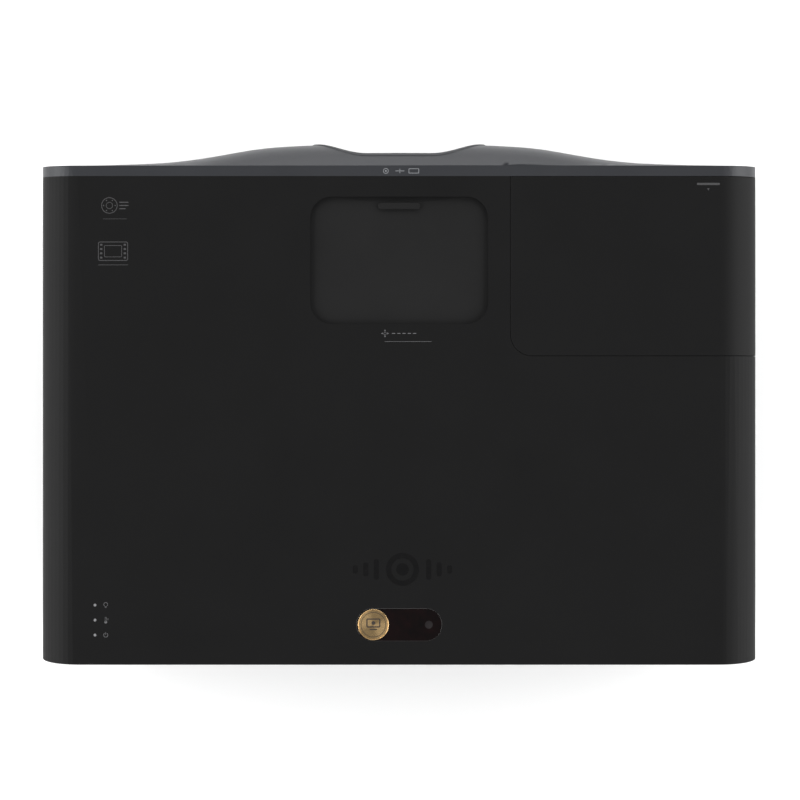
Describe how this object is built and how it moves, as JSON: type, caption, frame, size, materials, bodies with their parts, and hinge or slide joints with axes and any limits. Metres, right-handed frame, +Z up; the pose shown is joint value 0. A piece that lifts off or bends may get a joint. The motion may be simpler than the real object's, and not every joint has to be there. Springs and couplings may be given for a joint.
{
  "type": "home projector",
  "caption": "Wide low home-cinema projector with rolled side edges, a swelling front round the recessed lens, sliding shift door and lift-off lamp cover.",
  "frame": {"origin": "on the floor under the middle of the object's box", "axes": "+Z up, the lens looks along -Y, +X is the left hand of somebody behind it who faces the screen"},
  "size_m": [0.4934, 0.3594, 0.135],
  "materials": {
    "cover": "fine matt texture",
    "case": "fine matt texture",
    "front": "satin dark grey paint",
    "surround": "satin",
    "grille": "matt",
    "window": "high gloss, dark",
    "gold": "spun brushed",
    "lens_plastic": "clear light pipe",
    "steel": "plated",
    "black_plastic": "moulded",
    "board": "solder mask",
    "alloy": "cast",
    "glass": "coated",
    "mirror": "dichroic coat",
    "barrel": "satin black",
    "ring_rubber": "ribbed grip",
    "key": "soft satin",
    "foot": "moulded"
  },
  "bodies": {
    "base": {"top_cover": "cover", "bottom_case": "case", "front_panel": "front", "lens_surround": "surround", "front_grille_left": "grille", "front_grille_right": "grille", "side_grille_left": "grille", "side_grille_right": "grille", "rear_panel": "case", "remote_window": "window", "badge_disc": "gold", "indicator_lenses": "lens_plastic", "metal_sockets": "steel", "jack_sockets": "black_plastic", "ac_inlet": "black_plastic", "case_screws": "steel", "main_board": "board", "power_board": "board", "lamp_ballast": "alloy", "engine_housing": "alloy", "light_tunnel": "glass", "engine_lenses": "glass", "dmd_board": "board", "dmd_heatsink": "alloy", "lens_mount_plate": "alloy", "lamp_housing": "black_plastic", "lamp_reflector": "mirror", "lamp_burner": "glass", "exhaust_fan_frame": "black_plastic", "intake_fan_frame": "black_plastic", "blower_housing": "black_plastic", "shift_tray": "black_plastic", "keypad_bezel": "window"},
    "lens_shift_door": {"lens_shift_door": "cover"},
    "vertical_shift_dial": {"vertical_shift_dial": "key"},
    "horizontal_shift_dial": {"horizontal_shift_dial": "key"},
    "vertical_carriage": {"vertical_carriage": "alloy"},
    "lens_barrel": {"lens_barrel": "barrel"},
    "zoom_ring": {"zoom_ring": "ring_rubber"},
    "focus_ring": {"focus_ring": "ring_rubber"},
    "front_cell": {"front_cell": "barrel", "front_glass": "glass"},
    "lamp_cover": {"lamp_cover": "cover"},
    "lamp_handle": {"lamp_handle": "black_plastic"},
    "exhaust_rotor": {"exhaust_rotor": "black_plastic"},
    "intake_rotor": {"intake_rotor": "black_plastic"},
    "blower_rotor": {"blower_rotor": "black_plastic"},
    "colour_wheel": {"colour_wheel": "glass"},
    "foot_front_left": {"foot_front_left": "foot"},
    "foot_front_right": {"foot_front_right": "foot"},
    "foot_rear_left": {"foot_rear_left": "foot"},
    "foot_rear_right": {"foot_rear_right": "foot"},
    "power_key": {"power_key": "key"},
    "source_key": {"source_key": "key"},
    "menu_key": {"menu_key": "key"},
    "up_key": {"up_key": "key"},
    "down_key": {"down_key": "key"},
    "left_key": {"left_key": "key"},
    "right_key": {"right_key": "key"},
    "select_key": {"select_key": "key"}
  },
  "joints": [
    {"name": "door_slide", "type": "slide", "parent": "base", "child": "lens_shift_door", "axis": [0, 1, 0], "range_m": [0, 0.0768]},
    {"name": "carriage_rise", "type": "slide", "parent": "base", "child": "vertical_carriage", "axis": [0, 0, 1], "range_m": [-0.0035, 0.0035]},
    {"name": "barrel_shift", "type": "slide", "parent": "vertical_carriage", "child": "lens_barrel", "axis": [1, 0, 0], "range_m": [-0.0024, 0.0024]},
    {"name": "vertical_dial_turn", "type": "hinge", "parent": "base", "child": "vertical_shift_dial", "pos_m": [0.02, -0.086, 0.12], "axis": [0, 0, 1], "range_deg": [-180, 180]},
    {"name": "horizontal_dial_turn", "type": "hinge", "parent": "base", "child": "horizontal_shift_dial", "pos_m": [-0.02, -0.086, 0.12], "axis": [0, 0, 1], "range_deg": [-180, 180]},
    {"name": "zoom_turn", "type": "hinge", "parent": "lens_barrel", "child": "zoom_ring", "pos_m": [0, -0.115, 0.07385], "axis": [0, 1, 0], "range_deg": [0, 60]},
    {"name": "cell_slide", "type": "slide", "parent": "lens_barrel", "child": "front_cell", "axis": [0, -1, 0], "range_m": [0, 0.0035]},
    {"name": "focus_turn", "type": "hinge", "parent": "lens_barrel", "child": "focus_ring", "pos_m": [0, -0.13, 0.07385], "axis": [0, 1, 0], "range_deg": [0, 120]},
    {"name": "cover_lift", "type": "slide", "parent": "base", "child": "lamp_cover", "axis": [0, 0, 1], "range_m": [0, 0.06]},
    {"name": "handle_swing", "type": "hinge", "parent": "base", "child": "lamp_handle", "pos_m": [-0.15195, -0.04045, 0.10635], "axis": [-1, 0, 0], "range_deg": [0, 90]},
    {"name": "exhaust_spin", "type": "hinge", "parent": "base", "child": "exhaust_rotor", "pos_m": [-0.162, -0.137, 0.07385], "axis": [0, 1, 0], "continuous": true},
    {"name": "intake_spin", "type": "hinge", "parent": "base", "child": "intake_rotor", "pos_m": [0.162, -0.137, 0.07385], "axis": [0, 1, 0], "continuous": true},
    {"name": "blower_spin", "type": "hinge", "parent": "base", "child": "blower_rotor", "pos_m": [0.168, -0.07575, 0.04], "axis": [0, 0, 1], "continuous": true},
    {"name": "wheel_spin", "type": "hinge", "parent": "base", "child": "colour_wheel", "pos_m": [-0.13195, -0.024, 0.07385], "axis": [0, 1, 0], "continuous": true},
    {"name": "screw_front_left", "type": "slide", "parent": "base", "child": "foot_front_left", "axis": [0, 0, -1], "range_m": [0, 0.012]},
    {"name": "screw_front_right", "type": "slide", "parent": "base", "child": "foot_front_right", "axis": [0, 0, -1], "range_m": [0, 0.012]},
    {"name": "screw_rear_left", "type": "slide", "parent": "base", "child": "foot_rear_left", "axis": [0, 0, -1], "range_m": [0, 0.012]},
    {"name": "screw_rear_right", "type": "slide", "parent": "base", "child": "foot_rear_right", "axis": [0, 0, -1], "range_m": [0, 0.012]},
    {"name": "press_power", "type": "slide", "parent": "base", "child": "power_key", "axis": [-1, 0, 0], "range_m": [0, 0.0006], "stiffness_N_per_m": 300, "springref_m": -0.003},
    {"name": "press_source", "type": "slide", "parent": "base", "child": "source_key", "axis": [-1, 0, 0], "range_m": [0, 0.0006], "stiffness_N_per_m": 300, "springref_m": -0.003},
    {"name": "press_menu", "type": "slide", "parent": "base", "child": "menu_key", "axis": [-1, 0, 0], "range_m": [0, 0.0006], "stiffness_N_per_m": 300, "springref_m": -0.003},
    {"name": "press_up", "type": "slide", "parent": "base", "child": "up_key", "axis": [-1, 0, 0], "range_m": [0, 0.0006], "stiffness_N_per_m": 300, "springref_m": -0.003},
    {"name": "press_down", "type": "slide", "parent": "base", "child": "down_key", "axis": [-1, 0, 0], "range_m": [0, 0.0006], "stiffness_N_per_m": 300, "springref_m": -0.003},
    {"name": "press_left", "type": "slide", "parent": "base", "child": "left_key", "axis": [-1, 0, 0], "range_m": [0, 0.0006], "stiffness_N_per_m": 300, "springref_m": -0.003},
    {"name": "press_right", "type": "slide", "parent": "base", "child": "right_key", "axis": [-1, 0, 0], "range_m": [0, 0.0006], "stiffness_N_per_m": 300, "springref_m": -0.003},
    {"name": "press_select", "type": "slide", "parent": "base", "child": "select_key", "axis": [-1, 0, 0], "range_m": [0, 0.0006], "stiffness_N_per_m": 300, "springref_m": -0.003}
  ],
  "couplings": [
    {"joint": "vertical_dial_turn", "follows": "carriage_rise", "rad_per_m": 895},
    {"joint": "horizontal_dial_turn", "follows": "barrel_shift", "rad_per_m": 1300},
    {"joint": "focus_turn", "follows": "cell_slide", "rad_per_m": 596}
  ]
}
